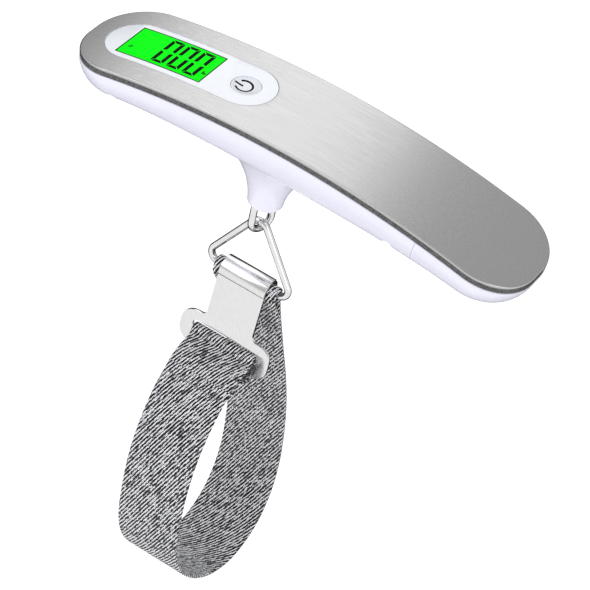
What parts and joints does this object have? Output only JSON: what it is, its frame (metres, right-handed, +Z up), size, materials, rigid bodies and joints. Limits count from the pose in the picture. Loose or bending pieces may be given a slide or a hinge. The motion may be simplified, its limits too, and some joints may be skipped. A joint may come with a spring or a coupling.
{
  "type": "digital luggage scale",
  "caption": "Arched hand-held digital luggage scale with a lit display and power button, a triangular wire ring and a webbing loop with a hook plate below it.",
  "frame": {"origin": "top of the arch at the middle of the handle's length and width, where the hand lies", "axes": "+X along the handle, away from the display; +Y across it, away from the viewer; +Z up, against the load"},
  "size_m": [0.1494, 0.0644, 0.1927],
  "materials": {
    "brushed_top": "fine brushing along the handle",
    "trim_grey": "satin grey rim",
    "shell_white": "moulded white, glossy",
    "window_white": "moulded white, polished",
    "lens_clear": "clear acrylic window",
    "lcd_glass": "transflective display, lit green",
    "backlight": "milky light guide",
    "holder_white": "moulded white",
    "zebra_rubber": "layered connector rubber",
    "board_green": "solder mask on glass fibre",
    "black_epoxy": "black resin",
    "part_black": "small moulded parts",
    "switch_body": "moulded black",
    "plunger": "moulded off-white",
    "button_white": "moulded white with a printed mark",
    "cell_aluminium": "milled",
    "gauge_amber": "foil gauge on film",
    "screw_steel": "zinc plated",
    "wire_red": "insulated wire",
    "wire_black": "insulated wire",
    "holder_black": "moulded black",
    "cell_steel": "polished can",
    "contact_brass": "spring strip",
    "wire_chrome": "bright plated steel wire",
    "plate_steel": "bright plated steel strip",
    "webbing_grey": "black and white woven webbing, greyish at a distance"
  },
  "bodies": {
    "handle": {"top_plate": "brushed_top", "mid_frame": "trim_grey", "rear_shell": "shell_white", "display_fascia": "window_white", "lcd_lens": "lens_clear", "lcd_panel": "lcd_glass", "lcd_backlight": "backlight", "lcd_holder": "holder_white", "zebra_strips": "zebra_rubber", "circuit_board": "board_green", "chip_blob": "black_epoxy", "board_parts": "part_black", "tact_switch": "switch_body", "load_cell": "cell_aluminium", "strain_gauges": "gauge_amber", "load_cell_screws": "screw_steel", "gauge_wires": "wire_red", "battery_wires": "wire_black", "battery_holder": "holder_black", "coin_cell": "cell_steel", "battery_contacts": "contact_brass", "housing_screws": "screw_steel"},
    "button": {"power_button": "button_white", "switch_plunger": "plunger"},
    "door": {"battery_door": "shell_white"},
    "eye": {"load_eye": "wire_chrome", "eye_nut": "screw_steel", "eye_washer": "screw_steel"},
    "ring": {"triangle_ring": "wire_chrome"},
    "strap": {"webbing_strap": "webbing_grey"},
    "hook": {"hook_plate": "plate_steel", "strap_fold": "webbing_grey"}
  },
  "joints": [
    {"name": "power_button_press", "type": "slide", "parent": "handle", "child": "button", "axis": [0.0784, 0, -0.9969], "range_m": [0, 0.0005], "stiffness_N_per_m": 400},
    {"name": "battery_door_slide", "type": "hinge", "parent": "handle", "child": "door", "pos_m": [0, 0, -0.297], "axis": [0, 1, 0], "range_deg": [0, 1.6]},
    {"name": "eye_swivel", "type": "hinge", "parent": "handle", "child": "eye", "pos_m": [-0.0098, 0, -0.0375], "axis": [0, 0, 1], "continuous": true},
    {"name": "ring_swing", "type": "hinge", "parent": "eye", "child": "ring", "pos_m": [-0.0098, 0, -0.0436], "axis": [1, 0, 0], "range_deg": [-30, 30]},
    {"name": "strap_swing", "type": "hinge", "parent": "ring", "child": "strap", "pos_m": [-0.0098, 0, -0.0662], "axis": [1, 0, 0], "range_deg": [-60, 60]},
    {"name": "hook_lift", "type": "slide", "parent": "strap", "child": "hook", "axis": [0, 0.1392, 0.9903], "range_m": [0, 0.0035]}
  ]
}
